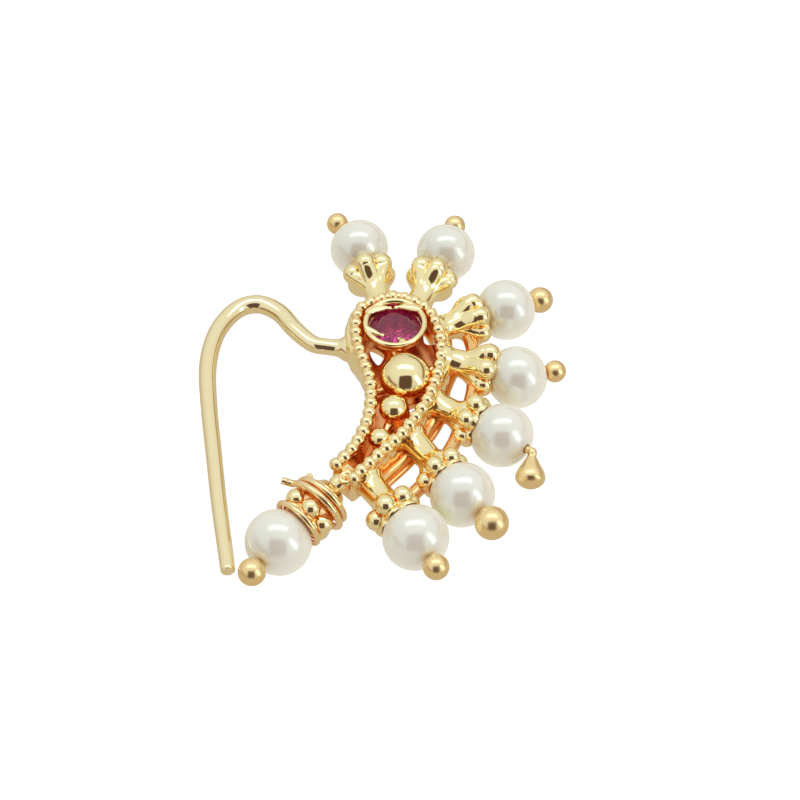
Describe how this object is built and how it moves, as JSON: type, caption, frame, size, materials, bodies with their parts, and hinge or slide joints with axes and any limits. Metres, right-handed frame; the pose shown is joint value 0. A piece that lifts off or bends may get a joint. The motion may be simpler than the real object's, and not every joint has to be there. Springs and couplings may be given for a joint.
{
  "type": "nose ring",
  "caption": "Curved openwork gold nose ring in the nath style, with a round ruby, gold domes, a plain hook wire and pearls on headed pins set in lobed cups round its edge.",
  "frame": {"origin": "middle of the bounding box's base, on the surface that the nose ring lies on, face up", "axes": "+Z out of the decorated face, +Y from the tail towards the end with the ruby, +X away from the hook wire"},
  "size_m": [0.0206, 0.0266, 0.0039],
  "materials": {
    "gold": "polished yellow gold",
    "pearl": "white nacre, glossy",
    "ruby": "faceted, polished"
  },
  "bodies": {
    "root": {"gold_body": "gold", "ruby": "ruby", "tail_coil": "gold", "pearl_1": "pearl", "pearl_2": "pearl", "pearl_3": "pearl", "pearl_4": "pearl", "pearl_5": "pearl", "pearl_6": "pearl", "pearl_7": "pearl", "pearl_8": "pearl", "pin_1": "gold", "pin_2": "gold", "pin_3": "gold", "pin_4": "gold", "pin_5": "gold", "pin_6": "gold", "pin_7": "gold", "pin_8": "gold"}
  },
  "joints": []
}
